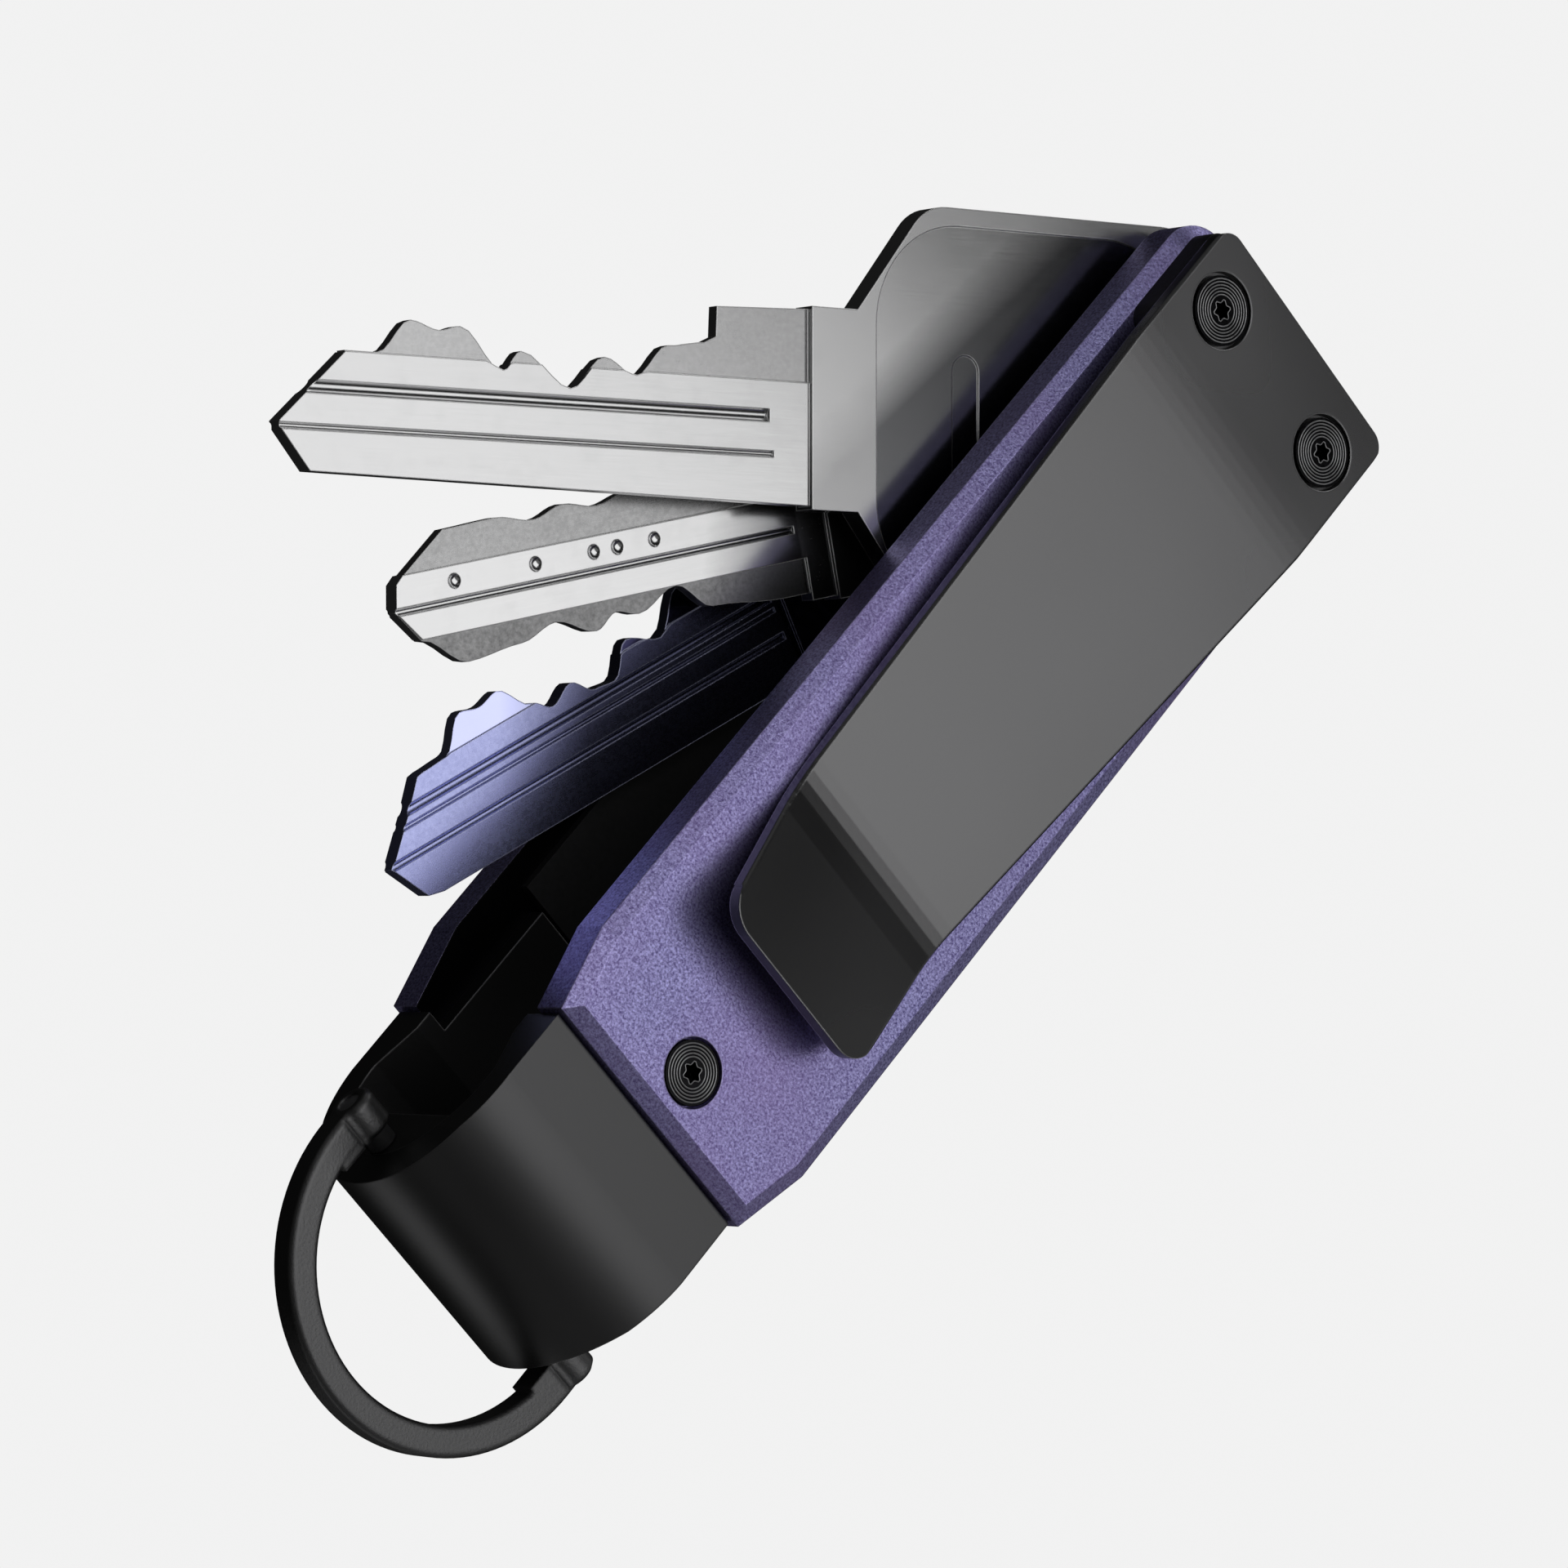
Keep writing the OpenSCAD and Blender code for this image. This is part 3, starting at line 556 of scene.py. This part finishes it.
# %% Bake a tree into a plain piece
def grow(name, points, tree, body, slot, **values):
    """Runs a tree on a cloud of points and makes the result a plain piece on a body."""
    cloud = bpy.data.meshes.new(name + "_points")
    cloud.from_pydata([tuple(p) for p in points], [], [])
    host = bpy.data.objects.new(name + "_host", cloud)
    scene.collection.objects.link(host)
    modifier = host.modifiers.new("grow", "NODES")
    modifier.node_group = tree
    for item in tree.interface.items_tree:
        key = item.name.lower().replace(" ", "_")
        if item.in_out == "INPUT" and key in values:
            modifier[item.identifier] = values[key]
    evaluated = host.evaluated_get(bpy.context.evaluated_depsgraph_get())
    mesh = bpy.data.meshes.new_from_object(evaluated)
    bpy.data.objects.remove(host)
    piece = bpy.data.objects.new(name, mesh)
    scene.collection.objects.link(piece)
    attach(piece, body)
    print(name, len(mesh.vertices), "points,", len(mesh.polygons), "faces")


def solid_boxes(name):
    """The box of each separate solid in a node, found by walking its edges."""
    mesh = nodes[name].data
    parent = list(range(len(mesh.vertices)))

    def root(i):
        while parent[i] != i:
            parent[i] = parent[parent[i]]
            i = parent[i]
        return i

    places = {}
    for v in mesh.vertices:
        spot = tuple(round(c, 7) for c in v.co)
        parent[root(v.index)] = root(places.setdefault(spot, v.index))
    for edge in mesh.edges:
        a, b = edge.vertices
        parent[root(a)] = root(b)
    groups = {}
    for v in mesh.vertices:
        groups.setdefault(root(v.index), []).append(v.co)
    return [(Vector(map(min, zip(*g))), Vector(map(max, zip(*g)))) for g in groups.values()]


# %% Rings on every head
def head_points(name):
    """The centre of each screw head's outer face."""
    found = []
    for low, high in solid_boxes(name):
        up = high.z > pivot.z
        found.append(Vector(((low.x + high.x) / 2, (low.y + high.y) / 2,
                             high.z if up else low.z)))
    return found


clip_heads = head_points("clip_screws")
case_heads = head_points("frame_screws") + head_points("pivot_screws")
ridge = 0.06 * MM
grow("clip_screw_rings", clip_heads, rings_tree, "case", "black_screw",
     first_radius=1.24 * MM, spacing=0.25 * MM, rings=6, ridge_radius=ridge,
     finish=ridge_finish)
grow("case_screw_rings", case_heads, rings_tree, "case", "black_screw",
     first_radius=1.18 * MM, spacing=0.25 * MM, rings=5, ridge_radius=ridge,
     finish=ridge_finish)

grow("driver_rims", clip_heads + case_heads, rims_tree, "case", "black_screw",
     inner_radius=0.6 * MM, outer_radius=0.98 * MM, ridge_radius=0.05 * MM,
     finish=ridge_finish)

# %% [markdown]
# ## Floor, light and camera
# A satin part is only as good as what it reflects. One large soft box hangs above and
# beyond the part, and its straight edge falls across the keys, which is what splits their
# plating into bright and dark. Five weaker boxes fill from the near side, the toe, below
# and behind, each for the faces that would otherwise mirror only darkness.
# The floor is pale and plain, and it stays out of the reflections, as a distant sweep does.

# %% Floor
PALE = (0.885, 0.885, 0.885)


def pale_floor():
    material, start = new_material("pale_floor")
    glow = start.node("ShaderNodeEmission", None,
                      {"Color": (*PALE, 1.0), "Strength": 1.0})
    start.node("ShaderNodeOutputMaterial", None, {"Surface": glow})
    side, drop = 6.0, -0.3
    mesh = bpy.data.meshes.new("floor")
    mesh.from_pydata([(-side, -side, drop), (side, -side, drop), (side, side, drop),
                      (-side, side, drop)], [], [(0, 1, 2, 3)])
    mesh.materials.append(material)
    floor = bpy.data.objects.new("floor", mesh)
    scene.collection.objects.link(floor)
    floor.visible_glossy = False
    floor.visible_diffuse = False


pale_floor()


# %% Surroundings
def surroundings():
    """Pale behind the part, dim in reflections, with a weak glow low on the far side."""
    world = bpy.data.worlds.new("studio")
    world.use_nodes = True
    world.node_tree.nodes.clear()
    scene.world = world
    start = Wire(world.node_tree)
    seen = start.node("ShaderNodeLightPath")
    way = start.node("ShaderNodeTexCoord")
    x, y, z = axes(start, way)
    band = spread(z, -0.1, 0.1) * (1 - spread(z, 0.3, 0.5))
    glow = band * spread(x + y, -0.6, 0.8, 0.2, 1.0) * 0.34 + 0.012
    shade = mix_colours(start, seen, glow, PALE)
    back = start.node("ShaderNodeBackground", None, {"Color": shade, "Strength": 1.0})
    start.node("ShaderNodeOutputWorld", None, {"Surface": back})


surroundings()


# %% Soft boxes
def soft_box(name, centre, aim, width, height, radiance):
    """A rectangular area light whose brightness is given as radiance, whatever its size."""
    light = bpy.data.lights.new(name, "AREA")
    light.shape = "RECTANGLE"
    light.size, light.size_y = width, height
    light.energy = radiance * width * height * math.pi
    lamp = bpy.data.objects.new(name, light)
    lamp.location = centre
    lamp.rotation_euler = (Vector(aim) - Vector(centre)).to_track_quat("-Z", "Y").to_euler()
    scene.collection.objects.link(lamp)
    print(name, round(light.energy, 3), "watts")


soft_box("key_box", (0.0, 0.095, 0.6), (0.0, 0.095, 0), 0.8, 0.59, 1.15)
soft_box("near_fill", (-0.7, 0.1, 0.25), (0, 0, 0.01), 0.3, 0.6, 0.16)
soft_box("toe_box", (0.05, -0.36, 0.5), (0.0, -0.05, 0), 0.8, 0.34, 0.11)
soft_box("low_fill", (0.35, -0.6, -0.36), (0, -0.05, 0.01), 0.8, 0.34, 0.5)
soft_box("rear_fill", (-0.2, 1.0, 0.12), (0, 0, 0.01), 0.7, 0.4, 0.9)
soft_box("far_fill", (0.35, 0.82, 0.3), (0, 0, 0.01), 1.0, 0.4, 0.08)

# %% Camera
camera_data = bpy.data.cameras.new("camera")
camera_data.sensor_width = 36
camera_data.lens = 142.6
camera_data.clip_start = 0.02
camera = bpy.data.objects.new("camera", camera_data)
scene.collection.objects.link(camera)
stands_at = Vector((-0.1970, -0.2242, 0.3870))
to_right = Vector((0.5586, 0.5642, 0.6079)).normalized()
to_back = Vector((-0.4095, -0.4497, 0.7937)).normalized()
to_up = to_back.cross(to_right).normalized()
to_right = to_up.cross(to_back)
camera.matrix_world = Matrix((
    (to_right.x, to_up.x, to_back.x, stands_at.x),
    (to_right.y, to_up.y, to_back.y, stands_at.y),
    (to_right.z, to_up.z, to_back.z, stands_at.z),
    (0, 0, 0, 1)))
scene.camera = camera
scene.view_settings.view_transform = "Standard"
print("camera stands", round(stands_at.length, 3), "m from the origin")
